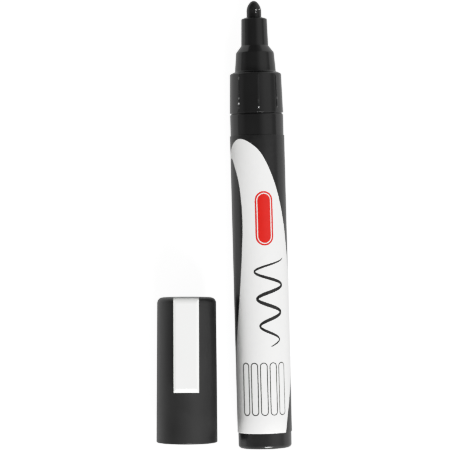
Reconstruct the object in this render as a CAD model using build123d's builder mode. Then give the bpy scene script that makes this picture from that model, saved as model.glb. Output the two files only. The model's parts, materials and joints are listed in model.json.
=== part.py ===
from build123d import *
import math
import os

# Liquid chalk marker with its cap taken off and laid beside it.
# The marker lies on its side. Its axis is the Y axis, its tail face is at y = 0 and its nib points along +Y.
# The printed side of the barrel and the clip of the cap face up, along +Z.
# Turned pieces are drawn as outlines of radius and height along the axis. Millimetres throughout.

# Barrel, the ink tank: a straight tube closed at the tail
barrel_radius = 7.6
barrel_length = 95.0
barrel_wall = 1.25
tail_wall = 1.6
tail_round = 1.0
tail_inner_round = 0.8
mouth_round = 0.5

# Printed film shrunk on the barrel
film_thickness = 0.18
film_start = 4.5
film_length = 84.3

# Front holder, outside: collar, neck, flare and nozzle
collar_length = 12.0
collar_step = 0.04
collar_draft = 0.31
collar_foot_round = 0.05
seam_gap = 0.2
seam_gap_depth = 0.5
collar_round = 0.5
shoulder_width = 1.46
shoulder_slope = 0.65
shoulder_root_round = 0.3
neck_length = 5.4
neck_draft = 0.45
neck_round = 0.5
flare_length = 2.0
nozzle_length = 8.1
nozzle_wall = 1.3
nozzle_draft = 0.2
nozzle_slope = 0.5
nozzle_round = 0.3

# Grip ribs on the collar, which hold the cap by friction: a group on each half of the mould
collar_rib_groups = 2
collar_ribs_in_group = 3
collar_rib_spacing = 45.5
collar_rib_middle_angle = 4.4
collar_rib_width = 0.5
collar_rib_height = 0.17
collar_rib_round = 0.12
collar_rib_low_margin = 1.35
collar_rib_high_margin = 1.0
collar_rib_lead = 0.4
collar_rib_bite = 0.1

# Front holder, inside: plug with its snap bead, valve pocket, nib chamber and guide fins
plug_length = 9.0
plug_clearance = 0.02
plug_lead = 0.4
plug_wall = 1.03
snap_height = 0.2
snap_width = 1.2
snap_from_seam = 5.0
pocket_above_seam = 1.0
chamber_wall = 1.22
fin_count = 6
fin_thickness = 0.8
fin_height = 0.18
fin_start_above_pocket = 2.0
fin_mouth_setback = 0.6

# How far fins reach into the wall that carries them, and a cutting outline past what it cuts
fin_bite = 0.3
cut_margin = 1.0

# Nib: a rod of bonded fibre with a bullet point
nib_radius = 2.14
nib_protrusion = 4.7
nib_dome_length = 3.1
nib_tip_radius = 1.45
nib_rear_chamfer = 0.5
nib_clearance = 0.06
nib_travel = 2.5
nib_rear_clearance = 0.3

# Valve: seat ring, cage, plunger and spring
seat_thickness = 1.2
seat_ink_gap = 0.6
cage_length = 15.0
cage_wall = 0.9
cage_floor = 1.2
cage_boss_length = 1.0
cage_boss_wall = 0.45
cage_window_count = 4
cage_window_width = 3.0
cage_window_height = 4.2
valve_fit_clearance = 0.02
plunger_tip_radius = 1.1
plunger_head_radius = 2.7
plunger_head_thickness = 1.2
plunger_head_chamfer = 0.3
plunger_stem_radius = 1.05
plunger_stem_overhang = 0.5
plunger_clearance = 0.1
spring_wire_diameter = 0.5
spring_boss_clearance = 0.15
spring_turns = 7
spring_end_gap = 0.02
spring_steps_per_turn = 48

# Mixing ball, loose in the ink
ball_radius = 3.2
ball_clearance = 0.05

# Cap shell
cap_length = 41.2
cap_fit_clearance = 0.1
cap_rim_wall = 0.81
cap_rim_round = 0.3
cap_draft = 0.33
cap_mouth_chamfer = 0.3
cap_mouth_lead = 0.5
cap_crown_round = 1.6
cap_crown_thickness = 3.0
cap_crown_wall = 0.9
cap_fin_count = 6
cap_fin_thickness = 0.8

# Inner seal of the cap: a soft cup that closes on the neck of the holder
seal_wall = 0.8
seal_top = 0.8
seal_fit_clearance = 0.04
seal_lip_above_collar = 1.8
seal_lip_chamfer = 0.4
seal_press_clearance = 0.02

# Clip of the cap: a flat white tongue, rolled over at the crown and bevelled along its sides and foot.
# Its root ends in a round bar, seated in a T-slot in the crown.
clip_length = 26.7
clip_width = 7.15
clip_thickness = 1.3
clip_proud_of_crown = 0.23
clip_gap = 0.46
clip_roll_length = 1.55
clip_roll_drop = 0.45
clip_nose_length = 0.32
clip_nose_drop = 0.5
clip_side_bevel = 0.7
clip_side_drop = 0.3
clip_foot_bevel = 1.15
clip_foot_drop = 0.3
clip_edge_round = 0.15
clip_root_width = 4.4
clip_root_thickness = 1.3
clip_bar_length = 6.2
clip_bar_radius = 0.8
clip_bar_inset = 3.4
clip_slot_clearance = 0.1
clip_bead_radius = 0.8
clip_bead_from_end = 1.6
clip_bead_clearance = 0.06

# Where the cap lies: the gap from its rim to the film, how far its rim is from the tail, and its turn
cap_gap = 5.72
cap_from_tail = 2.15
cap_skew = -1.34

# Radii and heights along the marker, worked out from the sizes above
barrel_bore_radius = barrel_radius - barrel_wall
film_radius = barrel_radius + film_thickness
seam = barrel_length
collar_base_radius = barrel_radius + collar_step
collar_top_radius = collar_base_radius - collar_draft
collar_top = seam + collar_length
neck_base_radius = collar_top_radius - shoulder_width
neck_top_radius = neck_base_radius - neck_draft
neck_top = collar_top + neck_length
flare_top = neck_top + flare_length
holder_mouth = flare_top + nozzle_length
guide_radius = nib_radius + nib_clearance
nozzle_bore_radius = guide_radius + fin_height
nozzle_top_radius = nozzle_bore_radius + nozzle_wall
nozzle_base_radius = nozzle_top_radius + nozzle_draft
chamber_radius = neck_top_radius - chamber_wall
plug_radius = barrel_bore_radius - plug_clearance
plug_end = seam - plug_length
snap_middle = seam - snap_from_seam
pocket_radius = plug_radius - plug_wall
pocket_top = seam + pocket_above_seam
nib_tip = holder_mouth + nib_protrusion
nib_rear = pocket_top + nib_travel + nib_rear_clearance
seat_bottom = pocket_top - seat_thickness
cage_bottom = seat_bottom - cage_length
cage_floor_top = cage_bottom + cage_floor
plunger_head_bottom = seat_bottom - plunger_head_thickness
plunger_end = cage_bottom - plunger_stem_overhang
sharp = 0.0


def rounded_outline(*corners):
    """Closed outline. Each corner is its place, on turned pieces a radius and a height, and its round."""
    points = [(across, along) for across, along, _ in corners]
    FilletPolyline(*points, radius=[corner_round for _, _, corner_round in corners], close=True)


def marker_plane(angle):
    """A plane through the marker's axis, turned about it: 0 holds the +Z direction, 90 the +X direction."""
    turn = math.radians(angle)
    return Plane(
        origin=(0, 0, 0),
        x_dir=(math.sin(turn), 0, math.cos(turn)),
        z_dir=(-math.cos(turn), 0, math.sin(turn)),
    )


def even_angles(count, first=0.0):
    """Angles of equal spacing round the axis, in degrees."""
    return [first + 360.0 * step / count for step in range(count)]


# Barrel: moulded tube with a rounded tail and a snap groove inside its mouth
groove_radius = barrel_bore_radius + snap_height
with BuildPart() as barrel:
    with BuildSketch(Plane.XY):
        with BuildLine():
            rounded_outline(
                (0, 0, sharp),
                (barrel_radius, 0, tail_round),
                (barrel_radius, barrel_length, mouth_round),
                (barrel_bore_radius, barrel_length, sharp),
                (barrel_bore_radius, snap_middle + snap_width / 2, sharp),
                (groove_radius, snap_middle + snap_width / 4, sharp),
                (groove_radius, snap_middle - snap_width / 4, sharp),
                (barrel_bore_radius, snap_middle - snap_width / 2, sharp),
                (barrel_bore_radius, tail_wall, tail_inner_round),
                (0, tail_wall, sharp),
            )
        make_face()
    revolve(axis=Axis.Y)
barrel.part.label = "barrel"

# Label sleeve: a printed film, shrunk tight on the barrel
with BuildPart() as label_sleeve:
    with BuildSketch(Plane.XZ.offset(-film_start)):
        Circle(film_radius)
        Circle(barrel_radius, mode=Mode.SUBTRACT)
    extrude(amount=-film_length)
label_sleeve.part.label = "label_sleeve"


def collar_radius_at(height):
    """Radius of the tapered collar at a height along the marker."""
    return collar_base_radius - collar_draft * (height - seam) / collar_length


def collar_rib_angles():
    """Angles of the grip ribs about the axis, in degrees: equal groups on opposite sides."""
    side_step = (collar_ribs_in_group - 1) / 2
    return [
        group + (step - side_step) * collar_rib_spacing
        for group in even_angles(collar_rib_groups, collar_rib_middle_angle)
        for step in range(collar_ribs_in_group)
    ]


# One grip rib: parallel to the taper of the collar, with a sloped lead at each end and a rounded crest
rib_foot_run = collar_rib_lead * collar_rib_bite / collar_rib_height
rib_low = seam + collar_rib_low_margin
rib_high = collar_top - collar_rib_high_margin
with BuildPart() as collar_rib:
    with BuildSketch(marker_plane(0)):
        with BuildLine():
            Polyline(
                (collar_radius_at(rib_low) - collar_rib_bite, rib_low - rib_foot_run),
                (collar_radius_at(rib_low) + collar_rib_height, rib_low + collar_rib_lead),
                (collar_radius_at(rib_high) + collar_rib_height, rib_high - collar_rib_lead),
                (collar_radius_at(rib_high) - collar_rib_bite, rib_high + rib_foot_run),
                close=True,
            )
        make_face()
    extrude(amount=collar_rib_width / 2, both=True)
    outer_faces = faces().sort_by(Axis.Z)[-3:]
    fillet(outer_faces.edges().filter_by(Axis.X, reverse=True), radius=collar_rib_round)

# Front holder: one moulding from the plug in the barrel's mouth to the nozzle that guides the nib
bead_radius = plug_radius + snap_height
gap_radius = collar_base_radius - seam_gap_depth
gap_top = seam + seam_gap
fin_low = pocket_top + fin_start_above_pocket
fin_high = holder_mouth - fin_mouth_setback
with BuildPart() as front_holder:
    with BuildSketch(Plane.XY):
        with BuildLine():
            rounded_outline(
                (pocket_radius, plug_end, sharp),
                (plug_radius - plug_lead, plug_end, sharp),
                (plug_radius, plug_end + plug_lead, sharp),
                (plug_radius, snap_middle - snap_width / 2, sharp),
                (bead_radius, snap_middle - snap_width / 4, sharp),
                (bead_radius, snap_middle + snap_width / 4, sharp),
                (plug_radius, snap_middle + snap_width / 2, sharp),
                (plug_radius, seam, sharp),
                (gap_radius, seam, sharp),
                (gap_radius, gap_top, sharp),
                (collar_base_radius, gap_top, collar_foot_round),
                (collar_top_radius, collar_top - shoulder_slope, collar_round),
                (neck_base_radius, collar_top, shoulder_root_round),
                (neck_top_radius, neck_top, neck_round),
                (nozzle_base_radius, flare_top, sharp),
                (nozzle_top_radius, holder_mouth - nozzle_slope, nozzle_round),
                (nozzle_bore_radius, holder_mouth, sharp),
                (nozzle_bore_radius, flare_top, sharp),
                (chamber_radius, neck_top, sharp),
                (chamber_radius, pocket_top, sharp),
                (pocket_radius, pocket_top, sharp),
            )
        make_face()
    revolve(axis=Axis.Y)
    for angle in collar_rib_angles():
        add(collar_rib.part, rotation=(0, angle, 0))
    # Guide fins that hold the nib on the axis and leave air channels between them
    for angle in even_angles(fin_count):
        with BuildSketch(marker_plane(angle)):
            with BuildLine():
                Polyline(
                    (guide_radius, fin_low),
                    (chamber_radius + fin_bite, fin_low),
                    (chamber_radius + fin_bite, neck_top),
                    (nozzle_bore_radius + fin_bite, flare_top),
                    (nozzle_bore_radius + fin_bite, fin_high),
                    (guide_radius, fin_high),
                    close=True,
                )
            make_face()
        extrude(amount=fin_thickness / 2, both=True)
front_holder.part.label = "front_holder"

# Nib: bonded fibre rod, with a bullet point of two tangent arcs and a chamfered rear end
nib_shoulder = nib_tip - nib_dome_length
nib_tip_centre = nib_tip - nib_tip_radius
nib_side_radius = (nib_radius**2 + nib_dome_length**2 - 2 * nib_dome_length * nib_tip_radius) / (
    2 * (nib_radius - nib_tip_radius)
)
nib_side_angle = math.atan2(nib_tip_centre - nib_shoulder, nib_side_radius - nib_radius)
nib_arc_join = (
    nib_tip_radius * math.cos(nib_side_angle),
    nib_tip_centre + nib_tip_radius * math.sin(nib_side_angle),
)
with BuildPart() as nib:
    with BuildSketch(Plane.XY):
        with BuildLine():
            Polyline(
                (0, nib_tip),
                (0, nib_rear),
                (nib_radius - nib_rear_chamfer, nib_rear),
                (nib_radius, nib_rear + nib_rear_chamfer),
                (nib_radius, nib_shoulder),
            )
            side_arc = TangentArc((nib_radius, nib_shoulder), nib_arc_join, tangent=(0, 1))
            TangentArc(nib_arc_join, (0, nib_tip), tangent=side_arc % 1)
        make_face()
    revolve(axis=Axis.Y)
nib.part.label = "nib"

# Valve seat: a soft ring under the holder's web, closed from below by the plunger's head
valve_radius = pocket_radius - valve_fit_clearance
with BuildPart() as valve_seat:
    with BuildSketch(Plane.XZ.offset(-seat_bottom)):
        Circle(valve_radius)
        Circle(plunger_tip_radius + seat_ink_gap, mode=Mode.SUBTRACT)
    extrude(amount=-seat_thickness)
valve_seat.part.label = "valve_seat"

# Valve cage: a cup pressed into the holder's pocket, with windows for the ink and a boss that guides the stem
cage_bore_radius = valve_radius - cage_wall
stem_bore_radius = plunger_stem_radius + plunger_clearance
cage_boss_radius = stem_bore_radius + cage_boss_wall
with BuildPart() as valve_cage:
    with BuildSketch(Plane.XY):
        with BuildLine():
            Polyline(
                (stem_bore_radius, cage_bottom),
                (valve_radius, cage_bottom),
                (valve_radius, seat_bottom),
                (cage_bore_radius, seat_bottom),
                (cage_bore_radius, cage_floor_top),
                (cage_boss_radius, cage_floor_top),
                (cage_boss_radius, cage_floor_top + cage_boss_length),
                (stem_bore_radius, cage_floor_top + cage_boss_length),
                close=True,
            )
        make_face()
    revolve(axis=Axis.Y)
    for angle in even_angles(cage_window_count):
        with BuildSketch(marker_plane(angle)):
            with Locations((valve_radius - cage_wall / 2, cage_floor_top)):
                Rectangle(2 * cage_wall, cage_window_height, align=(Align.CENTER, Align.MIN))
        extrude(amount=cage_window_width / 2, both=True, mode=Mode.SUBTRACT)
valve_cage.part.label = "valve_cage"

# Valve plunger: tip that the nib pushes, sealing head and guide stem
with BuildPart() as valve_plunger:
    with BuildSketch(Plane.XY):
        with BuildLine():
            Polyline(
                (0, nib_rear),
                (plunger_tip_radius, nib_rear),
                (plunger_tip_radius, seat_bottom),
                (plunger_head_radius, seat_bottom),
                (plunger_head_radius, plunger_head_bottom + plunger_head_chamfer),
                (plunger_head_radius - plunger_head_chamfer, plunger_head_bottom),
                (plunger_stem_radius, plunger_head_bottom),
                (plunger_stem_radius, plunger_end),
                (0, plunger_end),
                close=True,
            )
        make_face()
    revolve(axis=Axis.Y)
valve_plunger.part.label = "valve_plunger"

# Valve spring: one steel wire wound between the cage's floor and the plunger's head.
# Each half turn of the helix is a pair of arcs that meet in a common tangent.
spring_wire_radius = spring_wire_diameter / 2
spring_mean_radius = cage_boss_radius + spring_boss_clearance + spring_wire_radius
spring_low = cage_floor_top + spring_wire_radius + spring_end_gap
spring_high = plunger_head_bottom - spring_wire_radius - spring_end_gap
spring_pitch = (spring_high - spring_low) / spring_turns


def spring_point(turns):
    """Centre of the wire after a number of turns."""
    angle = 2 * math.pi * turns
    return Vector(
        spring_mean_radius * math.sin(angle),
        spring_low + spring_pitch * turns,
        spring_mean_radius * math.cos(angle),
    )


def spring_direction(turns):
    """Unit tangent of the wire after a number of turns."""
    angle = 2 * math.pi * turns
    around = 2 * math.pi * spring_mean_radius
    return Vector(around * math.cos(angle), spring_pitch, -around * math.sin(angle)).normalized()


def biarc_join(start, start_direction, end, end_direction):
    """Point where two arcs meet that leave start and reach end along the given directions."""
    chord = end - start
    both = start_direction + end_direction
    spread = 2 * (1 - start_direction.dot(end_direction))
    lean = chord.dot(both)
    arm = (math.sqrt(lean * lean + spread * chord.dot(chord)) - lean) / spread
    return (start + start_direction * arm + end - end_direction * arm) / 2


with BuildPart() as valve_spring:
    with BuildLine() as wire_path:
        for half_turn in range(2 * spring_turns):
            first = spring_point(half_turn / 2)
            last = spring_point((half_turn + 1) / 2)
            first_direction = spring_direction(half_turn / 2)
            last_direction = spring_direction((half_turn + 1) / 2)
            join = biarc_join(first, first_direction, last, last_direction)
            rising_arc = TangentArc(first, join, tangent=first_direction)
            TangentArc(join, last, tangent=rising_arc % 1)
    with BuildSketch(Plane(origin=spring_point(0), z_dir=spring_direction(0))):
        Circle(spring_wire_radius)
    sweep(path=wire_path.wires()[0])
valve_spring.part.label = "valve_spring"

# Mixing ball: a steel ball that lies on the wall of the tank, at the tail
ball_low = tail_wall + ball_radius + ball_clearance
with BuildPart() as mixing_ball:
    with Locations((0, ball_low, -(barrel_bore_radius - ball_radius - ball_clearance))):
        Sphere(ball_radius)
mixing_ball.part.label = "mixing_ball"

# The cap lies beside the marker on the same surface.
# In its own plane X is the radius and Y runs from rim to crown.
cap_bore_rim_radius = collar_base_radius + collar_rib_height + cap_fit_clearance
cap_rim_radius = cap_bore_rim_radius + cap_rim_wall
cap_crown_radius = cap_rim_radius - cap_draft
cap_bore_top_radius = cap_crown_radius - cap_crown_wall
cap_inside_top = cap_length - cap_crown_thickness
cap_turn = math.radians(cap_skew)
cap_plane = Plane(
    origin=(-(film_radius + cap_gap + cap_rim_radius), cap_from_tail, cap_rim_radius - film_radius),
    x_dir=(math.cos(cap_turn), math.sin(cap_turn), 0),
    z_dir=(0, 0, 1),
)
cap_axis = Axis(cap_plane.origin, cap_plane.y_dir)
seal_lip = collar_length + seal_lip_above_collar
seal_neck_radius = neck_base_radius - neck_draft * seal_lip_above_collar / neck_length
seal_bore_radius = seal_neck_radius + seal_fit_clearance
seal_radius = seal_bore_radius + seal_wall


def cap_radial_plane(angle):
    """A plane through the cap's axis, turned about it: 0 holds the upward direction."""
    turn = math.radians(angle)
    across = cap_plane.x_dir * math.sin(turn) + cap_plane.z_dir * math.cos(turn)
    return Plane(origin=cap_plane.origin, x_dir=across, z_dir=across.cross(cap_plane.y_dir))


# Plane of the crown's top face: local X across the cap, local Y up towards the clip
crown_plane = Plane(
    origin=cap_plane.from_local_coords((0, cap_length, 0)),
    x_dir=-cap_plane.x_dir,
    z_dir=cap_plane.y_dir,
)

# Levels of the clip: up from the cap's axis, and along the cap from its rim
clip_back = cap_rim_radius + clip_gap
clip_front = clip_back + clip_thickness
clip_top = cap_length + clip_proud_of_crown
clip_foot = clip_top - clip_length
clip_nose_start = clip_top - clip_nose_length
clip_roll_start = clip_nose_start - clip_roll_length
clip_roll_end_level = clip_front - clip_roll_drop
clip_nose_level = clip_roll_end_level - clip_nose_drop
clip_bar_level = cap_crown_radius - clip_bar_inset
clip_bar_height = cap_length - clip_bar_radius
clip_slot_radius = clip_bar_radius + clip_slot_clearance
clip_slot_depth = cap_length - clip_bar_height + clip_slot_radius

# Cap shell: tapered tube with a thick crown, fins that grip the inner seal and a T-slot for the clip
fin_face = seal_radius + seal_press_clearance
fin_root = cap_bore_top_radius + fin_bite
with BuildPart() as cap_shell:
    with BuildSketch(cap_plane):
        with BuildLine():
            rounded_outline(
                (cap_bore_rim_radius + cap_mouth_chamfer, 0, sharp),
                (cap_rim_radius, 0, cap_rim_round),
                (cap_crown_radius, cap_length, cap_crown_round),
                (0, cap_length, sharp),
                (0, cap_inside_top, sharp),
                (cap_bore_top_radius, cap_inside_top, sharp),
                (cap_bore_rim_radius, cap_mouth_lead, sharp),
            )
        make_face()
    revolve(axis=cap_axis)
    for angle in even_angles(cap_fin_count, 180.0 / cap_fin_count):
        with BuildSketch(cap_radial_plane(angle)):
            with BuildLine():
                Polyline(
                    (fin_face, cap_inside_top + fin_bite),
                    (fin_face, seal_lip + seal_wall),
                    (fin_root, seal_lip),
                    (fin_root, cap_inside_top + fin_bite),
                    close=True,
                )
            make_face()
        extrude(amount=cap_fin_thickness / 2, both=True)
    with BuildSketch(crown_plane):
        with Locations((0, clip_bar_level)):
            Rectangle(clip_bar_length + 2 * clip_slot_clearance, 2 * clip_slot_radius)
            Rectangle(
                clip_root_width + 2 * clip_slot_clearance,
                cap_rim_radius - clip_bar_level,
                align=(Align.CENTER, Align.MIN),
            )
    extrude(amount=-clip_slot_depth, mode=Mode.SUBTRACT)
cap_shell.part.label = "cap_shell"

# Inner seal: a soft cup pressed between the fins, with a chamfered lip for the neck
with BuildPart() as cap_inner_seal:
    with BuildSketch(cap_plane):
        with BuildLine():
            Polyline(
                (seal_radius, seal_lip),
                (seal_radius, cap_inside_top),
                (0, cap_inside_top),
                (0, cap_inside_top - seal_top),
                (seal_bore_radius, cap_inside_top - seal_top),
                (seal_bore_radius, seal_lip + seal_lip_chamfer),
                (seal_bore_radius + seal_lip_chamfer, seal_lip),
                close=True,
            )
        make_face()
    revolve(axis=cap_axis)
cap_inner_seal.part.label = "cap_inner_seal"

# Clip: plate cut by its side outline and its section, root with a round bar in the crown's slot,
# and a bead that rides on the shell
clip_bead_height = clip_foot + clip_bead_from_end
shell_under_bead = cap_rim_radius - cap_draft * clip_bead_height / cap_length
clip_bead_low = shell_under_bead + clip_bead_clearance
clip_side_plane = Plane(cap_plane.origin, x_dir=cap_plane.y_dir, z_dir=cap_plane.x_dir)
clip_side = clip_width / 2
clip_ridge = clip_front + clip_side_drop * (clip_side / clip_side_bevel - 1)
with BuildPart() as cap_clip:
    with BuildSketch(clip_side_plane):
        with BuildLine():
            FilletPolyline(
                (clip_top, clip_back),
                (clip_foot, clip_back),
                (clip_foot, clip_front - clip_foot_drop),
                (clip_foot + clip_foot_bevel, clip_front),
                (clip_roll_start, clip_front),
                radius=[sharp, clip_edge_round, sharp],
            )
            roll = TangentArc(
                (clip_roll_start, clip_front), (clip_nose_start, clip_roll_end_level), tangent=(1, 0)
            )
            TangentArc(roll @ 1, (clip_top, clip_nose_level), tangent=roll % 1)
            Line((clip_top, clip_nose_level), (clip_top, clip_back))
        make_face()
    extrude(amount=clip_side + cut_margin, both=True)
    # Section of the plate: its side bevels run on to a ridge, cut off by the flat face of the side outline
    with BuildSketch(crown_plane.offset(clip_proud_of_crown + cut_margin)):
        with BuildLine():
            rounded_outline(
                (-clip_side, clip_back - cut_margin, sharp),
                (-clip_side, clip_front - clip_side_drop, clip_edge_round),
                (0, clip_ridge, sharp),
                (clip_side, clip_front - clip_side_drop, clip_edge_round),
                (clip_side, clip_back - cut_margin, sharp),
            )
        make_face()
    extrude(amount=-(clip_length + 2 * cut_margin), mode=Mode.INTERSECT)
    with BuildSketch(clip_side_plane):
        with Locations((clip_bar_height - clip_root_thickness / 2, clip_bar_level)):
            Rectangle(clip_root_thickness, clip_back - clip_bar_level, align=(Align.MIN, Align.MIN))
    extrude(amount=clip_root_width / 2, both=True)
    with BuildSketch(clip_side_plane):
        with Locations((clip_bar_height, clip_bar_level)):
            Circle(clip_bar_radius)
    extrude(amount=clip_bar_length / 2, both=True)
    with BuildSketch(clip_side_plane):
        with Locations((clip_bead_height, clip_bead_low + clip_bead_radius)):
            Circle(clip_bead_radius)
        with Locations((clip_bead_height, clip_bead_low)):
            Rectangle(
                2 * clip_bead_radius,
                clip_back - clip_bead_low,
                align=(Align.CENTER, Align.MIN),
                mode=Mode.INTERSECT,
            )
    extrude(amount=clip_root_width / 2, both=True)
cap_clip.part.label = "cap_clip"

os.makedirs("parts", exist_ok=True)
for piece in (
    barrel,
    label_sleeve,
    front_holder,
    nib,
    valve_seat,
    valve_cage,
    valve_plunger,
    valve_spring,
    mixing_ball,
    cap_shell,
    cap_inner_seal,
    cap_clip,
):
    export_step(piece.part, f"parts/{piece.part.label}.step")

# Least gap between turns of the spring, measured on points at least half a turn apart
spring_steps = [
    spring_point(step / spring_steps_per_turn) for step in range(spring_steps_per_turn * spring_turns + 1)
]
spring_gap = min(
    (there - here).length
    for place, here in enumerate(spring_steps)
    for there in spring_steps[place + spring_steps_per_turn // 2 :]
)
print(f"least gap between turns of the spring: {spring_gap - spring_wire_diameter:.2f} mm")
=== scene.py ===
import json
import math
import bmesh
import bpy
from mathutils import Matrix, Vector, noise
from mathutils.geometry import delaunay_2d_cdt, interpolate_bezier


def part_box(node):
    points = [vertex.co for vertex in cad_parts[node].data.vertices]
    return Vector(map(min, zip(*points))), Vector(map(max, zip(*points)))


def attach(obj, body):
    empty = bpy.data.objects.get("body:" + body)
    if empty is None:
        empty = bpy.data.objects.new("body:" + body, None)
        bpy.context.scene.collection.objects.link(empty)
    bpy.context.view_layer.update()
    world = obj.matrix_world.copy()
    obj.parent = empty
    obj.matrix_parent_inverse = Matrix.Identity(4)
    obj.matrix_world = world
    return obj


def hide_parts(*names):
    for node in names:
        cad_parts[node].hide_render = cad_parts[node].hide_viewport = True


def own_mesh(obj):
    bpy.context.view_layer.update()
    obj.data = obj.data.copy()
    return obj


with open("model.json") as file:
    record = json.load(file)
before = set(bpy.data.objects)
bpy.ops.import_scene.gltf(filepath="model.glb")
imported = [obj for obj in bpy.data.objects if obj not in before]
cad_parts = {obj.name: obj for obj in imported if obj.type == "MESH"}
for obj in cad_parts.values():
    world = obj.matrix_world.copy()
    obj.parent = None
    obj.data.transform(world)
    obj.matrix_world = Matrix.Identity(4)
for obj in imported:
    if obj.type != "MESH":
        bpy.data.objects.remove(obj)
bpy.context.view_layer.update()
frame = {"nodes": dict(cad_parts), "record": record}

mm = 0.001

# Barrel: the ink tank, a straight tube with a rounded tail, which carries every other piece of the marker.
# Injection-moulded in black polypropylene from a polished tool, so it is glossy, with faint handling marks.
# The tail knocks about in pots and drawers, so it is a little paler and duller than the rest.
rubbed_edge_width = 0.25 * mm
scuff_height = 6 * mm
scuff_fade = 4 * mm
scuff_size = 1.5 * mm
scuff_least = 0.7
scuff_level = 0.018
scuff_roughness = 0.24


def add_node(tree, kind, **settings):
    """A new node in a tree, with its settings."""
    node = tree.nodes.new(kind)
    for name, value in settings.items():
        setattr(node, name, value)
    return node


def feed(tree, node, values):
    """A node whose inputs, by name or place, are linked to other sockets or set to plain values."""
    for place, value in values.items():
        if isinstance(value, bpy.types.NodeSocket):
            tree.links.new(value, node.inputs[place])
        else:
            node.inputs[place].default_value = value
    return node


def maths(tree, operation, *values):
    """A sum, a product or the like of numbers."""
    node = add_node(tree, "ShaderNodeMath", operation=operation)
    return feed(tree, node, dict(enumerate(values))).outputs["Value"]


def product(tree, *values):
    """Numbers multiplied with each other."""
    total = values[0]
    for value in values[1:]:
        total = maths(tree, "MULTIPLY", total, value)
    return total


def vector_maths(tree, operation, *values):
    """The same for places and directions. A length or a dot product is a number."""
    node = add_node(tree, "ShaderNodeVectorMath", operation=operation)
    output = "Value" if operation in ("LENGTH", "DOT_PRODUCT") else "Vector"
    return feed(tree, node, dict(enumerate(values))).outputs[output]


def mix(tree, factor, first, second, kind="RGBA"):
    """A mix of two colours, or of two numbers where the kind is FLOAT."""
    node = add_node(tree, "ShaderNodeMix", data_type=kind)
    return feed(tree, node, {"Factor": factor, "A": first, "B": second}).outputs["Result"]


def ramp(tree, value, start, end, low=0.0, high=1.0, shape="LINEAR"):
    """A number that goes from low to high while a value goes from start to end."""
    node = add_node(tree, "ShaderNodeMapRange", interpolation_type=shape)
    limits = {"Value": value, "From Min": start, "From Max": end, "To Min": low, "To Max": high}
    return feed(tree, node, limits).outputs["Result"]


def piece_place(tree):
    """Where a point lies in the frame of its piece, in metres."""
    return add_node(tree, "ShaderNodeTexCoord").outputs["Object"]


def along_axis(tree, axis):
    """How far a point lies along one axis of its piece, in metres."""
    axes = add_node(tree, "ShaderNodeSeparateXYZ")
    return feed(tree, axes, {"Vector": piece_place(tree)}).outputs[axis]


def surface_noise(tree, width, length=None, detail=3.0):
    """Noise fixed to the piece, with features of that width and, along the marker, that length in metres."""
    size = add_node(tree, "ShaderNodeCombineXYZ")
    feed(tree, size, {"X": width, "Y": width if length is None else length, "Z": width})
    place = vector_maths(tree, "DIVIDE", piece_place(tree), size.outputs["Vector"])
    pattern = add_node(tree, "ShaderNodeTexNoise")
    return feed(tree, pattern, {"Vector": place, "Scale": 1.0, "Detail": detail}).outputs["Fac"]


def spread(tree, value, low=0.0, high=1.0):
    """A noise value widened to the whole range between low and high."""
    common_low = 0.3
    common_high = 0.7
    return ramp(tree, value, common_low, common_high, low, high)


def new_group(name, inputs, outputs):
    """An empty shader group with named sockets: colours are named as such, all else is a number."""
    group = bpy.data.node_groups.new(name, "ShaderNodeTree")
    for direction, names in (("INPUT", inputs), ("OUTPUT", outputs)):
        for socket in names:
            kind = "NodeSocketColor" if "colour" in socket else "NodeSocketFloat"
            group.interface.new_socket(name=socket, in_out=direction, socket_type=kind)
    return group, add_node(group, "NodeGroupInput"), add_node(group, "NodeGroupOutput")


def new_skin(name, sizes=()):
    """An empty group for a skin: colours, roughnesses and sizes go in, what a shader needs comes out."""
    inputs = ("Clean colour", "Worn colour", "Low roughness", "High roughness", *sizes)
    return new_group(name, inputs, ("Skin colour", "Roughness", "Height"))


def finish_skin(group, given, result, wear, dulling, height):
    """What a skin puts out: its colour follows one noise, its roughness another, and its relief a third."""
    colour = mix(group, spread(group, wear), given.outputs["Clean colour"], given.outputs["Worn colour"])
    roughness = spread(group, dulling, given.outputs["Low roughness"], given.outputs["High roughness"])
    feed(group, result, {"Skin colour": colour, "Roughness": roughness, "Height": height})
    return group


def moulded_skin_group():
    """Moulded plastic: cloudy handling marks and hairline rubs, over the fine grain of the tool."""
    group, given, result = new_skin("moulded_skin")
    clouds = surface_noise(group, width=9 * mm, detail=4.0)
    rubs = surface_noise(group, width=0.35 * mm, length=8.4 * mm, detail=2.0)
    grain = surface_noise(group, width=0.22 * mm, detail=2.0)
    share_of_rubs = 0.35
    marks = mix(group, share_of_rubs, clouds, rubs, "FLOAT")
    return finish_skin(group, given, result, wear=clouds, dulling=marks, height=grain)


def rubbed_edge_group():
    """Where an edge has been rubbed: the normal of a rounded copy of the edge leaves that of the surface."""
    group, given, result = new_group("rubbed_edge", ("Width",), ("Mask",))
    rounded = feed(group, add_node(group, "ShaderNodeBevel", samples=6), {"Radius": given.outputs["Width"]})
    surface = add_node(group, "ShaderNodeNewGeometry")
    agreement = vector_maths(group, "DOT_PRODUCT", rounded.outputs["Normal"], surface.outputs["Normal"])
    rub_starts = 0.995
    rub_is_full = 0.86
    edge = ramp(group, agreement, rub_starts, rub_is_full)
    least_rub = 0.15
    broken = spread(group, surface_noise(group, width=0.8 * mm), low=least_rub)
    feed(group, result, {"Mask": product(group, edge, broken)})
    return group


moulded_skin = moulded_skin_group()
rubbed_edge = rubbed_edge_group()


def place_group(tree, group, values):
    """One use of a shader group in a material, with its own values."""
    return feed(tree, add_node(tree, "ShaderNodeGroup", node_tree=group), values)


def new_material(name):
    """A material with a Principled shader."""
    material = bpy.data.materials.new(name)
    material.use_nodes = True
    return material


def principled(material):
    """The shader of a material."""
    return material.node_tree.nodes["Principled BSDF"]


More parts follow.
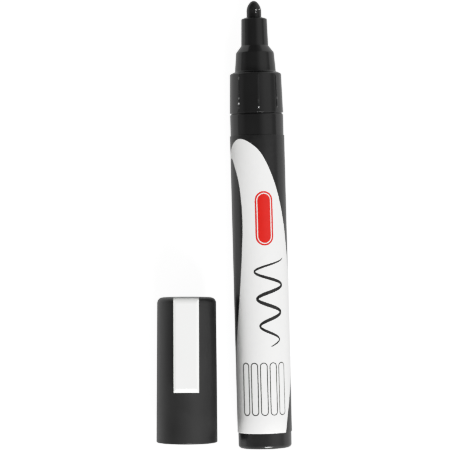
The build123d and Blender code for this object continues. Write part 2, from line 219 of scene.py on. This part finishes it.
def skinned(name, group, clean, worn, roughness, depth, sizes=None):
    """A material with a skin: its colours clean and worn, its range of roughness and the relief's depth."""
    material = new_material(name)
    tree = material.node_tree
    values = {
        "Clean colour": clean,
        "Worn colour": worn,
        "Low roughness": roughness[0],
        "High roughness": roughness[1],
    }
    skin = place_group(tree, group, values | (sizes or {}))
    bump = add_node(tree, "ShaderNodeBump")
    feed(tree, bump, {"Distance": depth, "Height": skin.outputs["Height"]})
    finish = {
        "Base Color": skin.outputs["Skin colour"],
        "Roughness": skin.outputs["Roughness"],
        "Normal": bump.outputs["Normal"],
    }
    feed(tree, principled(material), finish)
    return material


def lay_over(material, socket, mask, value, kind):
    """A shader's colour or roughness with another one laid over it, as far as a mask says."""
    tree = material.node_tree
    shader = principled(material)
    below = shader.inputs[socket].links[0].from_socket
    feed(tree, shader, {socket: mix(tree, mask, below, value, kind)})


def grey(level, warmth=0.0):
    """An opaque grey, a little warm or cool."""
    return (level * (1 + warmth), level, level * (1 - warmth), 1)


def moulded_plastic(name, clean, handled, rubbed, roughness, grain_depth):
    """A moulded plastic: its colours clean, handled and rubbed at edges, its roughness and its grain."""
    material = skinned(name, moulded_skin, clean, handled, roughness, grain_depth)
    edge = place_group(material.node_tree, rubbed_edge, {"Width": rubbed_edge_width})
    lay_over(material, "Base Color", edge.outputs["Mask"], rubbed, "RGBA")
    return material


def worn_and_glinting_copy(plastic, name, group, mark_size, tone, roughness):
    """A copy of a plastic that is paler and duller wherever the masks of a group say: rubbed at the tail,
    and on the ribs painted glints with duller crests.
    """
    material = plastic.copy()
    material.name = name
    rubs = place_group(material.node_tree, group, {"Mark size": mark_size})
    # Paler where the mask says: real wear on the tail, painted glints on the ribs
    lay_over(material, "Base Color", rubs.outputs["Mask"], tone, "RGBA")
    lay_over(material, "Roughness", rubs.outputs["Dull"], roughness, "FLOAT")
    return material


def scuffed_tail_group():
    """The scuffed end of the barrel, in soft patches."""
    group, given, result = new_group("scuffed_tail", ("Mark size",), ("Mask", "Dull"))
    patches = surface_noise(group, given.outputs["Mark size"], detail=2.0)
    tail_end = ramp(group, along_axis(group, "Y"), scuff_height, scuff_height + scuff_fade, 1.0, 0.0)
    mask = product(group, tail_end, spread(group, patches, low=scuff_least))
    feed(group, result, {"Mask": mask, "Dull": mask})
    return group


def dress(node, material):
    """A CAD node keeps its shape and gets its finish."""
    slots = frame["nodes"][node].data.materials
    slots.clear()
    slots.append(material)


gloss_black = moulded_plastic(
    "gloss_black_plastic",
    clean=grey(0.006),
    handled=grey(0.009),
    rubbed=grey(0.03),
    roughness=(0.09, 0.17),
    grain_depth=0.0006 * mm,
)
scuffed_black = worn_and_glinting_copy(
    gloss_black,
    "scuffed_black_plastic",
    scuffed_tail_group(),
    scuff_size,
    grey(scuff_level),
    scuff_roughness,
)
dress("barrel", scuffed_black)

# Mixing ball: a polished bearing ball that stirs the ink when the marker is shaken.
# Hard chrome steel, ground and lapped, loose in the tank.


def steel_skin_group():
    """Bare steel: the fine lines that its making leaves, and a little tarnish in patches."""
    group, given, result = new_skin("steel_skin", ("Line width", "Line length"))
    lines = surface_noise(group, given.outputs["Line width"], given.outputs["Line length"], detail=2.0)
    stains = surface_noise(group, width=2.5 * mm, detail=4.0)
    return finish_skin(group, given, result, wear=stains, dulling=lines, height=lines)


steel_skin = steel_skin_group()


def steel(name, clean, tarnished, roughness, line_width, line_length):
    """Bare steel, with the width and length of the lines on it."""
    line_depth = 0.001 * mm
    lines = {"Line width": line_width, "Line length": line_length}
    material = skinned(name, steel_skin, clean, tarnished, roughness, line_depth, lines)
    principled(material).inputs["Metallic"].default_value = 1.0
    return material


lapped_steel = steel(
    "lapped_steel",
    clean=grey(0.62),
    tarnished=grey(0.5, 0.04),
    roughness=(0.08, 0.2),
    line_width=0.12 * mm,
    line_length=0.12 * mm,
)
dress("mixing_ball", lapped_steel)

# Label film: a printed sleeve of polypropylene film, shrunk tight on the barrel.
# A white field sweeps over a black ground, with a blank red badge, a brush wave and five empty outlines.
# The print is laid out flat in millimetres: across from the top line of the barrel, and up from the tail.
grip = next(mount for mount in frame["record"]["mounts"] if mount["name"] == "barrel_grip")
film_radius = grip["dims"]["r_mm"]
film_girth = 2 * math.pi * film_radius
film_low, film_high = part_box("label_sleeve")
film_foot = film_low.y / mm
film_head = film_high.y / mm
film_lip = 0.12
film_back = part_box("barrel")[1].x / mm
past_film = 1.0


def flowing_line(points, steps=10):
    """A smooth line through a few points, which at each one runs the way from its neighbour to the next."""
    knots = [Vector(point) for point in points]
    ends = [knots[0], *knots, knots[-1]]
    handle_part = 6
    line = []
    for before, start, end, after in zip(ends, ends[1:], ends[2:], ends[3:]):
        leaving = start + (end - before) / handle_part
        arriving = end - (after - start) / handle_part
        line += interpolate_bezier(start, leaving, arriving, end, steps)[:-1]
    return [Vector(point[:2]) for point in line] + [knots[-1]]


def rounded_bar(centre, width, length, inset=0.0, steps=12):
    """Outline of an upright bar with half-round ends, drawn in by an inset on every side."""
    radius = width / 2 - inset
    straight = (length - width) / 2
    outline = []
    for step in range(2 * steps + 2):
        upper = step <= steps
        turn = math.pi * (step if upper else step - 1) / steps
        shift = straight if upper else -straight
        outline.append(
            Vector((centre[0] + radius * math.cos(turn), centre[1] + radius * math.sin(turn) + shift))
        )
    return outline


def brush_wave(low, high, middle, reach, waves, width, steps=96):
    """Outline of a brush stroke that swings from side to side, thinner at its ends and where it turns."""
    first_swing = 0.55
    end_width = 0.25
    end_curve = 0.6
    turn_width = 0.7
    left = []
    right = []
    for step in range(steps + 1):
        share = step / steps
        phase = 2 * math.pi * waves * share
        swing = reach * (first_swing + (1 - first_swing) * share)
        spot = Vector((middle + swing * math.sin(phase), low + (high - low) * share))
        slope = swing * 2 * math.pi * waves * math.cos(phase)
        across = Vector((high - low, -slope)).normalized()
        thin_ends = end_width + (1 - end_width) * math.sin(math.pi * share) ** end_curve
        thin_turns = turn_width + (1 - turn_width) * abs(math.cos(phase))
        half = width / 2 * thin_ends * thin_turns
        left.append(spot - across * half)
        right.append(spot + across * half)
    return left + right[::-1]


# The black ground lies above one line that runs right round the barrel: over the crown of the white field,
# down its right edge, round the back, up its left edge and into the hook behind the crown
hook_tip = (-16.4, 66.0)
sweep_edge = flowing_line(
    [
        hook_tip,
        (-15.2, 75.5),
        (-12.4, 81.8),
        (-9.2, 85.9),
        (-5.6, 87.8),
        (-1.6, 86.1),
        (1.6, 82.3),
        (5.3, 73.7),
        (8.2, 63.4),
        (10.2, 53.4),
        (13.5, 42.0),
        (19.0, 32.5),
        (26.0, 26.0),
        (33.0, 21.5),
        (37.0, 23.0),
        (39.4, 30.0),
        (42.0, 45.0),
        (43.6, 62.0),
        (43.1, 72.5),
        (41.6, 78.5),
        (39.0, 82.4),
        (36.2, 79.0),
        (33.8, 72.5),
        (hook_tip[0] + film_girth, hook_tip[1]),
    ]
)
above_film = film_head + past_film
black_ground = sweep_edge + [Vector((sweep_edge[-1].x, above_film)), Vector((sweep_edge[0].x, above_film))]
black_foot = flowing_line(
    [
        (6.5, film_foot - past_film),
        (7.7, 9.2),
        (9.2, 14.6),
        (10.6, 19.6),
        (13.2, 26.0),
        (17.4, 27.0),
        (28.0, 3.0),
    ]
)

badge_centre = (1.3, 65.2)
badge_width = 5.2
badge_length = 15.4
badge_border = 0.5
badge_line = 0.25
badge_outer = rounded_bar(badge_centre, badge_width, badge_length)
badge_line_outer = rounded_bar(badge_centre, badge_width, badge_length, badge_border)
badge_line_inner = rounded_bar(badge_centre, badge_width, badge_length, badge_border + badge_line)
wave = brush_wave(low=29.0, high=54.0, middle=2.4, reach=4.6, waves=3.25, width=1.05)
outline_pitch = 2.72
outline_middle = 0.09
outline_height = 17.05
outline_length = 15.1
outline_width = 2.25
outline_line = 0.33
outline_bars = []
for place in range(-2, 3):
    spot = (place * outline_pitch + outline_middle, outline_height)
    outer = rounded_bar(spot, outline_width, outline_length)
    inner = rounded_bar(spot, outline_width, outline_length, outline_line)
    outline_bars.append((outer, inner))


def inside(point, outline):
    """Whether a point of the flat print lies inside an outline, with the print going round the barrel."""
    for turns in (-1, 0, 1):
        x = point.x + turns * film_girth
        crossings = 0
        for start, end in zip(outline, outline[1:] + outline[:1]):
            if (start.y > point.y) != (end.y > point.y):
                crossings += x < start.x + (end.x - start.x) * (point.y - start.y) / (end.y - start.y)
        if crossings % 2:
            return True
    return False


film_inks = ("film_white", "film_black", "print_red", "print_black", "print_line")


def ink_at(point):
    """Which ink covers a point of the flat print."""
    if inside(point, badge_outer):
        on_line = inside(point, badge_line_outer) and not inside(point, badge_line_inner)
        return "film_white" if on_line else "print_red"
    if inside(point, wave):
        return "print_black"
    if any(inside(point, outer) and not inside(point, inner) for outer, inner in outline_bars):
        return "print_line"
    if inside(point, black_ground) or inside(point, black_foot):
        return "film_black"
    return "film_white"


def flat_print():
    """The flat print cut along every edge of its inks and into narrow columns: points and triangles."""
    columns = 120
    lip_step = 0.3
    lip_rows = (0.0, film_lip * lip_step, film_lip)
    rows = [film_foot + rise for rise in lip_rows]
    body_rows = 20
    body = film_head - film_foot - 2 * film_lip
    rows += [film_foot + film_lip + body * row / body_rows for row in range(1, body_rows)]
    rows += [film_head - drop for drop in reversed(lip_rows)]
    points = []
    edges = []
    for column in range(columns + 1):
        first = len(points)
        points += [Vector((film_girth * (column / columns - 0.5), row)) for row in rows]
        edges += [(first + step, first + step + 1) for step in range(len(rows) - 1)]
    for row in range(len(rows)):
        edges += [(row + column * len(rows), row + (column + 1) * len(rows)) for column in range(columns)]
    outlines = [black_ground, black_foot, badge_outer, badge_line_outer, badge_line_inner, wave]
    outlines += [outline for pair in outline_bars for outline in pair]
    for outline in outlines:
        for turns in (-1, 0, 1):
            shift = Vector((turns * film_girth, 0))
            moved = [point + shift for point in outline]
            across = [point.x for point in moved]
            if min(across) > film_girth / 2 or max(across) < -film_girth / 2:
                continue
            first = len(points)
            points += moved
            edges += [(first + step, first + (step + 1) % len(moved)) for step in range(len(moved))]
    same_point = 1e-4
    points, _, triangles, _, _, _ = delaunay_2d_cdt(points, edges, [], 0, same_point)
    return points, triangles


def film_point(point):
    """A point of the flat print wrapped on the barrel, with the film's two ends rounded over."""
    turn = point.x / film_radius
    from_end = min(point.y - film_foot, film_head - point.y)
    radius = film_radius
    if from_end < film_lip:
        radius -= film_lip - math.sqrt(max(0.0, film_lip**2 - (film_lip - from_end) ** 2))
    return Vector((radius * math.sin(turn), point.y, radius * math.cos(turn))) * mm


def finished_mesh(form, name):
    """The mesh of a form, with its faces turned outward."""
    bmesh.ops.recalc_face_normals(form, faces=form.faces)
    mesh = bpy.data.meshes.new(name)
    form.to_mesh(mesh)
    form.free()
    return mesh


def film_mesh():
    """The printed film as a closed sleeve, one material for each ink."""
    points, triangles = flat_print()
    form = bmesh.new()
    corners = [None] * len(points)
    for triangle in triangles:
        middle = sum((points[corner] for corner in triangle), Vector((0, 0))) / 3
        if abs(middle.x) > film_girth / 2 or not film_foot < middle.y < film_head:
            continue
        for corner in triangle:
            if corners[corner] is None:
                corners[corner] = form.verts.new(film_point(points[corner]))
        face = form.faces.new([corners[corner] for corner in triangle])
        face.material_index = film_inks.index(ink_at(middle))
        face.smooth = True
    same_corner = 1e-3 * mm
    bmesh.ops.remove_doubles(form, verts=form.verts, dist=same_corner)
    bmesh.ops.recalc_face_normals(form, faces=form.faces)
    rims = [edge for edge in form.edges if edge.is_boundary]
    turned_in = bmesh.ops.extrude_edge_only(form, edges=rims)["geom"]
    for corner in (part for part in turned_in if isinstance(part, bmesh.types.BMVert)):
        flat = Vector((corner.co.x, corner.co.z)).normalized() * film_back * mm
        corner.co = (flat.x, corner.co.y, flat.y)
    inner_rims = [edge for edge in form.edges if edge.is_boundary]
    lining = bmesh.ops.bridge_loops(form, edges=inner_rims)["faces"]
    for face in lining:
        face.material_index = film_inks.index("film_black")
    return finished_mesh(form, "label_film")


def printed_skin_group():
    """Ink under the film's clear face: a slightly uneven tone and the soft ripple of shrunk film."""
    group, given, result = new_skin("printed_skin")
    mottle = surface_noise(group, width=1.6 * mm, detail=5.0)
    ripple = surface_noise(group, width=2.2 * mm, length=13.2 * mm, detail=1.0)
    return finish_skin(group, given, result, wear=mottle, dulling=ripple, height=ripple)


printed_skin = printed_skin_group()
ground_roughness = (0.2, 0.3)
print_roughness = (0.24, 0.34)
film_reflection = 0.4


def printed_film(name, ink, mottled, roughness):
    """One ink of the film."""
    ripple_depth = 0.004 * mm
    material = skinned(name, printed_skin, ink, mottled, roughness, ripple_depth)
    principled(material).inputs["Specular IOR Level"].default_value = film_reflection
    return material


def new_piece(name, mesh, materials):
    """An object in the scene, with its mesh and materials."""
    piece = bpy.data.objects.new(name, mesh)
    bpy.context.scene.collection.objects.link(piece)
    for material in materials:
        mesh.materials.append(material)
    return piece


badge_red = (0.62, 0.0155, 0.0095, 1)
badge_red_mottled = (0.575, 0.0135, 0.008, 1)
field_white = (0.82, 0.82, 0.81, 1)
field_white_mottled = (0.795, 0.795, 0.785, 1)
film_materials = {
    "film_white": printed_film("film_white", field_white, field_white_mottled, print_roughness),
    "film_black": printed_film("film_black", grey(0.012), grey(0.017), ground_roughness),
    "print_red": printed_film("print_red", badge_red, badge_red_mottled, print_roughness),
    "print_black": printed_film("print_black", grey(0.012), grey(0.02), print_roughness),
    "print_line": printed_film("print_line", grey(0.06), grey(0.09), print_roughness),
}
label_film = new_piece("label_film", film_mesh(), [film_materials[ink] for ink in film_inks])
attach(label_film, "marker")
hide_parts("label_sleeve")

# Valve: cage, plunger, spring and seat, a small pump pressed into the holder's pocket.
# Cage and plunger are natural acetal, the spring is hard-drawn stainless wire, the seat is black rubber.
# Pressing the nib pushes the plunger's head off the seat and shortens the spring, and ink runs past.
dress(
    "valve_cage",
    moulded_plastic(
        "natural_acetal",
        clean=(0.76, 0.76, 0.71, 1),
        handled=(0.71, 0.7, 0.64, 1),
        rubbed=(0.84, 0.84, 0.8, 1),
        roughness=(0.32, 0.46),
        grain_depth=0.002 * mm,
    ),
)
dress(
    "valve_plunger",
    moulded_plastic(
        "pale_acetal",
        clean=(0.66, 0.69, 0.72, 1),
        handled=(0.6, 0.63, 0.66, 1),
        rubbed=(0.78, 0.8, 0.82, 1),
        roughness=(0.26, 0.4),
        grain_depth=0.002 * mm,
    ),
)
spring_low, spring_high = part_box("valve_spring")
wire_radius = 0.25 * mm
wire_sides = 12
coil_radius = spring_high.x - wire_radius
coil_turns = 7
turn_steps = 48


def join_rings(form, rings):
    """Smooth faces between each ring of corners and the next."""
    for lower, upper in zip(rings, rings[1:]):
        for here in range(len(lower)):
            after = (here + 1) % len(lower)
            face = form.faces.new((lower[here], lower[after], upper[after], upper[here]))
            face.smooth = True


def spring_mesh():
    """One round wire wound from the cage's floor to the plunger's head."""
    form = bmesh.new()
    foot = spring_low.y + wire_radius
    rise = spring_high.y - wire_radius - foot
    steps = coil_turns * turn_steps
    climb = rise / (2 * math.pi * coil_turns * coil_radius)
    rings = []
    for step in range(steps + 1):
        turn = 2 * math.pi * step / turn_steps
        outward = Vector((math.sin(turn), 0, math.cos(turn)))
        ahead = Vector((math.cos(turn), climb, -math.sin(turn))).normalized()
        upward = ahead.cross(outward)
        middle = coil_radius * outward + Vector((0, foot + rise * step / steps, 0))
        ring = []
        for side in range(wire_sides):
            way = 2 * math.pi * side / wire_sides
            reach = math.cos(way) * outward + math.sin(way) * upward
            ring.append(form.verts.new(middle + wire_radius * reach))
        rings.append(ring)
    join_rings(form, rings)
    for end in (rings[0], rings[-1]):
        form.faces.new(end)
    return finished_mesh(form, "wound_spring")


drawn_wire = steel(
    "drawn_wire",
    clean=grey(0.58),
    tarnished=grey(0.44, 0.05),
    roughness=(0.2, 0.36),
    line_width=0.36 * mm,
    line_length=0.12 * mm,
)
wound_spring = new_piece("wound_spring", spring_mesh(), [drawn_wire])
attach(wound_spring, "marker")
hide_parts("valve_spring")
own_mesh(wound_spring)


def rubber_skin_group():
    """Moulded rubber: matt, with a pale bloom in patches and a fine pebbled skin."""
    group, given, result = new_skin("rubber_skin")
    bloom = surface_noise(group, width=1.8 * mm, detail=5.0)
    pebble = surface_noise(group, width=0.12 * mm, detail=2.0)
    return finish_skin(group, given, result, wear=bloom, dulling=bloom, height=pebble)


seat_rubber = skinned(
    "seat_rubber",
    rubber_skin_group(),
    clean=grey(0.02),
    worn=grey(0.05),
    roughness=(0.58, 0.78),
    depth=0.006 * mm,
)
dress("valve_seat", seat_rubber)

# Front holder: one moulding with the plug, the ribbed collar, the neck and the nozzle that guides the nib.
# The same gloss black polypropylene as the barrel, snapped into the barrel's mouth.
# The low ends of the ribs carry pale specks, more on the left, which are painted glints; the crests of the
# ribs are duller.
collar_foot_radius = 7.64 * mm
collar_taper = 0.31 / 12.0
collar_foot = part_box("barrel")[1].y
crest_start = 0.06 * mm
crest_full = 0.13 * mm
# Where the pale specks of painted glints lie on the ribs, how pale they are, and how dull the crests are
glint_low = 2 * mm
glint_high = 9 * mm
glint_high_share = 0.15
glint_left = -0.5 * collar_foot_radius
glint_right_share = 0.12
mark_size = 1.2 * mm
glint_level = 0.75
crest_roughness = 0.3


def rib_glints_and_crests_group():
    """Painted glints: pale specks on what stands out of the cone, broken up by noise, low and on the left;
    and duller crests.
    """
    group, given, result = new_group("rib_glints_and_crests", ("Mark size",), ("Mask", "Dull"))
    across = add_node(group, "ShaderNodeCombineXYZ")
    feed(group, across, {"X": along_axis(group, "X"), "Y": along_axis(group, "Z")})
    radius = vector_maths(group, "LENGTH", across.outputs["Vector"])
    without_taper = maths(group, "MULTIPLY_ADD", along_axis(group, "Y"), collar_taper, radius)
    cone = collar_foot_radius + collar_taper * collar_foot
    crest = ramp(group, without_taper, cone + crest_start, cone + crest_full)
    speck_start = 0.54
    speck_full = 0.68
    pattern = surface_noise(group, given.outputs["Mark size"], detail=2.0)
    specks = ramp(group, pattern, speck_start, speck_full)
    low_end = collar_foot + glint_low
    high_end = collar_foot + glint_high
    glinting_end = ramp(group, along_axis(group, "Y"), low_end, high_end, 1.0, glint_high_share)
    glinting_side = ramp(group, along_axis(group, "X"), glint_left, 0.0, 1.0, glint_right_share)
    feed(group, result, {"Mask": product(group, crest, specks, glinting_end, glinting_side), "Dull": crest})
    return group


# The holder's black, with painted glints as pale specks on the ribs and duller crests
glinting_black = worn_and_glinting_copy(
    gloss_black,
    "glinting_black_plastic",
    rib_glints_and_crests_group(),
    mark_size,
    grey(glint_level),
    crest_roughness,
)
dress("front_holder", glinting_black)

# Nib: a rod of bonded polyester fibre, ground to a bullet point and pushed into the nozzle.
# Its fibres run along the rod and are soaked with black ink, so it is dark, wet and finely grooved.
# A little ink stands on its right side, where it fills the grooves and shines.
nib_low, nib_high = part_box("nib")
nib_radius = nib_high.x
nib_dome = 3.1 * mm
nib_tip_round = 1.45 * mm
nib_foot_bevel = 0.5 * mm
nib_columns = 168
nib_side_round = nib_radius**2 + nib_dome**2 - 2 * nib_dome * nib_tip_round
nib_side_round /= 2 * (nib_radius - nib_tip_round)
nib_join = math.atan2(nib_dome - nib_tip_round, nib_side_round - nib_radius)
fibre_depth = 0.05 * mm
fibre_width = 0.2 * mm
fibre_length = 1.6 * mm
fibre_wander = 0.12
wander_length = 3 * mm
groove_fade = 0.6 * mm
strand_height = 0.03 * mm
ink_flat = 0.5
ink_facing = Vector((0.107, -0.419, 0.902)).normalized()
ragged_size = 0.5 * mm
ragged_depth = 0.4 * mm
ink_reflection = 0.4


def ink_drop(across, below_tip, reach):
    """A drop of ink on the upper side of the nib's point: its middle and its reach."""
    rise = max(0.0, nib_dome - below_tip)
    radius = nib_radius - nib_side_round + math.sqrt(nib_side_round**2 - rise**2)
    return Vector((across, nib_high.y - below_tip, math.sqrt(radius**2 - across**2))), reach


ink_drops = [
    ink_drop(0.68 * mm, 2.74 * mm, 0.42 * mm),
    ink_drop(1.6 * mm, 2.62 * mm, 0.42 * mm),
    ink_drop(0.66 * mm, 3.4 * mm, 0.22 * mm),
]


def nib_outline():
    """Radius and height of the nib from its foot to the middle of its tip."""
    shoulder = nib_high.y - nib_dome
    rows = [(nib_radius - nib_foot_bevel, nib_low.y), (nib_radius, nib_low.y + nib_foot_bevel)]
    shaft_rows = 24
    shaft = shoulder - rows[-1][1]
    rows += [(nib_radius, rows[1][1] + shaft * row / shaft_rows) for row in range(1, shaft_rows)]
    side_rows = 18
    for row in range(side_rows):
        turn = nib_join * row / side_rows
        radius = nib_radius - nib_side_round * (1 - math.cos(turn))
        rows.append((radius, shoulder + nib_side_round * math.sin(turn)))
    tip_rows = 16
    for row in range(tip_rows):
        turn = nib_join + (math.pi / 2 - nib_join) * row / tip_rows
        radius = nib_tip_round * math.cos(turn)
        rows.append((radius, nib_high.y - nib_tip_round * (1 - math.sin(turn))))
    return rows


def fibre_groove(turn, height):
    """How deep the surface lies between fibres, from 0 to 1. Fibres wander a little on their way."""
    wander = fibre_wander * noise.noise(Vector((height / wander_length, turn, 0)))
    girth = nib_radius / fibre_width
    across = girth * math.sin(turn + wander)
    upward = girth * math.cos(turn + wander)
    return 0.5 + 0.5 * noise.noise(Vector((across, height / fibre_length, upward)))


def bare_share(spot):
    """How far the grooves are free of standing ink at a place, from 0 to 1."""
    share = 1.0
    for middle, reach in ink_drops:
        out = (spot - middle).length / reach
        share *= min(1.0, max(0.0, (out - ink_flat) / (1 - ink_flat)))
    return share


def nib_mesh():
    """The nib with its fibres as shallow grooves cut into the ground point."""
    form = bmesh.new()
    rings = []
    for radius, height in nib_outline():
        ring = []
        for column in range(nib_columns):
            turn = 2 * math.pi * column / nib_columns
            outward = Vector((math.sin(turn), 0, math.cos(turn)))
            level = Vector((0, height, 0))
            depth = fibre_depth * fibre_groove(turn, height) * min(1.0, radius / groove_fade)
            depth *= bare_share(radius * outward + level)
            ring.append(form.verts.new((radius - depth) * outward + level))
        rings.append(ring)
    join_rings(form, rings)
    form.faces.new(rings[0][::-1])
    tip = form.verts.new((0, nib_high.y, 0))
    for here, after in zip(rings[-1], rings[-1][1:] + rings[-1][:1]):
        face = form.faces.new((here, after, tip))
        face.smooth = True
    return finished_mesh(form, "fibre_nib")


def under_ink(tree, relief, middle, reach):
    """A relief with a drop of ink over it: ragged at its edge, with a flat face that catches the softbox."""
    place = piece_place(tree)
    offset = vector_maths(tree, "SUBTRACT", place, middle)
    pattern = add_node(tree, "ShaderNodeTexNoise")
    feed(tree, pattern, {"Vector": place, "Scale": 1 / ragged_size, "Detail": 1.0})
    pushed = vector_maths(tree, "MULTIPLY_ADD", pattern.outputs["Color"], [2 * ragged_depth] * 3, offset)
    ragged = vector_maths(tree, "SUBTRACT", pushed, [ragged_depth] * 3)
    distance = vector_maths(tree, "LENGTH", ragged)
    cover = ramp(tree, distance, reach, ink_flat * reach, shape="SMOOTHSTEP")
    outward = Vector((middle.x, 0, middle.z)).normalized()
    lean = ink_facing / (-outward.dot(ink_facing) * strand_height)
    face = vector_maths(tree, "DOT_PRODUCT", offset, lean)
    return mix(tree, cover, relief, face, "FLOAT")


def fibre_skin_group():
    """Fibre soaked with ink: dark, with wet and dry strands along the rod, and a few drops of ink."""
    group, given, result = new_skin("fibre_skin")
    strands = surface_noise(group, width=0.09 * mm, length=1.26 * mm)
    soak = surface_noise(group, width=1.2 * mm)
    relief = strands
    for middle, reach in ink_drops:
        relief = under_ink(group, relief, middle, reach)
    return finish_skin(group, given, result, wear=strands, dulling=soak, height=relief)


inked_fibre = skinned(
    "inked_fibre",
    fibre_skin_group(),
    clean=grey(0.006),
    worn=grey(0.02),
    roughness=(0.06, 0.2),
    depth=strand_height,
)
principled(inked_fibre).inputs["Specular IOR Level"].default_value = ink_reflection
fibre_nib = new_piece("fibre_nib", nib_mesh(), [inked_fibre])
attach(fibre_nib, "nib")
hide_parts("nib")

# Cap shell: a tapered tube with a thick crown, moulded in black polypropylene with a satin finish.
# Its tool is spark-eroded, so the skin is finely grained. It lies beside the marker, taken off.
dress(
    "cap_shell",
    moulded_plastic(
        "satin_black_plastic",
        clean=grey(0.016),
        handled=grey(0.021),
        rubbed=grey(0.05),
        roughness=(0.36, 0.46),
        grain_depth=0.004 * mm,
    ),
)

# Inner seal: a soft cup of natural polyethylene, pressed between the fins of the cap.
# Its lip closes on the neck of the holder and keeps the nib wet.
dress(
    "cap_inner_seal",
    moulded_plastic(
        "natural_polyethylene",
        clean=(0.78, 0.78, 0.75, 1),
        handled=(0.73, 0.73, 0.69, 1),
        rubbed=(0.84, 0.84, 0.82, 1),
        roughness=(0.36, 0.5),
        grain_depth=0.003 * mm,
    ),
)

# Clip: a flat white tongue with mitred bevels, moulded in gloss ABS.
# Its root ends in a round bar that snaps into the slot of the crown.
dress(
    "cap_clip",
    moulded_plastic(
        "gloss_white_plastic",
        clean=(0.87, 0.875, 0.86, 1),
        handled=(0.85, 0.855, 0.835, 1),
        rubbed=(0.9, 0.9, 0.89, 1),
        roughness=(0.18, 0.28),
        grain_depth=0.001 * mm,
    ),
)

# Studio: a plain pale table that glows a little, like a light table, with its glow dimmed close to the
# object as painted shade.
# The light is a soft dome, dim overhead and on the left, brighter on the right, and a softbox past the tail.
# The camera looks straight down, turned by the marker's lean, and its tone curve lifts the mid tones.
table_level = film_low.z
table_half = 3.0
table_corners = [(-1, -1), (1, -1), (1, 1), (-1, 1)]
table_places = [(x * table_half, y * table_half, table_level) for x, y in table_corners]
table_grey = 0.15
table_roughness = 0.7
table_shade_reach = 40 * mm
glow_seen = 1.04
glow_mirrored = 0.75
glow_cast = 0.45
table_mesh = bpy.data.meshes.new("table")
table_mesh.from_pydata(table_places, [], [(0, 1, 2, 3)])
table_paint = new_material("table_paint")
table_tree = table_paint.node_tree
table_sight = add_node(table_tree, "ShaderNodeLightPath")
table_shade = add_node(table_tree, "ShaderNodeAmbientOcclusion", samples=8)
feed(table_tree, table_shade, {"Distance": table_shade_reach})
table_glow = product(table_tree, table_sight.outputs["Is Camera Ray"], glow_seen)
for rays, strength in (("Is Glossy Ray", glow_mirrored), ("Is Diffuse Ray", glow_cast)):
    shaded = product(table_tree, table_sight.outputs[rays], strength, table_shade.outputs["AO"])
    table_glow = maths(table_tree, "ADD", table_glow, shaded)
table_finish = {
    "Base Color": grey(table_grey),
    "Roughness": table_roughness,
    "Specular IOR Level": 0.0,
    "Emission Color": grey(1.0),
    "Emission Strength": table_glow,
}
feed(table_tree, principled(table_paint), table_finish)
table = new_piece("table", table_mesh, [table_paint])

dome_dim = 0.165
dome_backdrop = 0.95
world = bpy.data.worlds.new("studio")
bpy.context.scene.world = world
world.use_nodes = True
dome = world.node_tree
dome_way = add_node(dome, "ShaderNodeTexCoord")
dome_axes = add_node(dome, "ShaderNodeSeparateXYZ")
feed(dome, dome_axes, {"Vector": dome_way.outputs["Generated"]})
# Each side of the dome: its axis, where its light starts and is full as parts of the radius, and how bright
dome_sides = {
    "right": ("X", 0.05, 0.7, 0.48),
    "low on the right": ("X", 0.88, 0.98, -0.28),
    "low on the left": ("X", -0.75, -1.0, 0.24),
    "beyond the tail": ("Y", 0.05, -0.6, 0.4),
}
dome_light = dome_dim
for axis, start, full, brightness in dome_sides.values():
    side = ramp(dome, dome_axes.outputs[axis], start, full, 0.0, brightness, "SMOOTHSTEP")
    dome_light = maths(dome, "ADD", dome_light, side)
dome_sight = add_node(dome, "ShaderNodeLightPath")
dome_seen = mix(dome, dome_sight.outputs["Is Camera Ray"], dome_light, dome_backdrop, "FLOAT")
feed(dome, dome.nodes["Background"], {"Color": grey(1.0), "Strength": dome_seen})

softbox_width = 0.96
softbox_depth = 0.8
softbox_power = 59.0
softbox_place = Vector((0.47, -1.72, 1.54))
softbox_target = Vector((-0.008, 0.06, 0.0))
softbox_lamp = bpy.data.lights.new("softbox", "AREA")
softbox_lamp.shape = "RECTANGLE"
softbox_lamp.size = softbox_width
softbox_lamp.size_y = softbox_depth
softbox_lamp.energy = softbox_power
softbox = bpy.data.objects.new("softbox", softbox_lamp)
softbox.location = softbox_place
softbox.rotation_euler = (softbox_target - softbox_place).to_track_quat("-Z", "Y").to_euler()
bpy.context.scene.collection.objects.link(softbox)

tone_white = 1.1
tone_points = [(0.08, 0.08), (0.25, 0.25), (0.49, 0.6), (0.65, 0.745), (0.86, 0.86), (0.97, 0.91)]
tone_settings = bpy.context.scene.view_settings
tone_settings.view_transform = "Standard"
tone_settings.use_curve_mapping = True
tone_curve = tone_settings.curve_mapping
tone_curve.white_level = [tone_white] * 3
all_channels = tone_curve.curves[3]
for light, shown in tone_points:
    all_channels.points.new(light / tone_white, shown)
tone_curve.update()

camera_place = (-0.0098, 0.0636, 0.7)
camera_angle = math.radians(10.46)
camera_turn = math.radians(-1.5)
camera_lens = bpy.data.cameras.new("camera")
camera_lens.sensor_width = 36.0
camera_lens.angle = camera_angle
camera = bpy.data.objects.new("camera", camera_lens)
camera.location = camera_place
camera.rotation_euler = (0, 0, camera_turn)
bpy.context.scene.collection.objects.link(camera)
bpy.context.scene.camera = camera
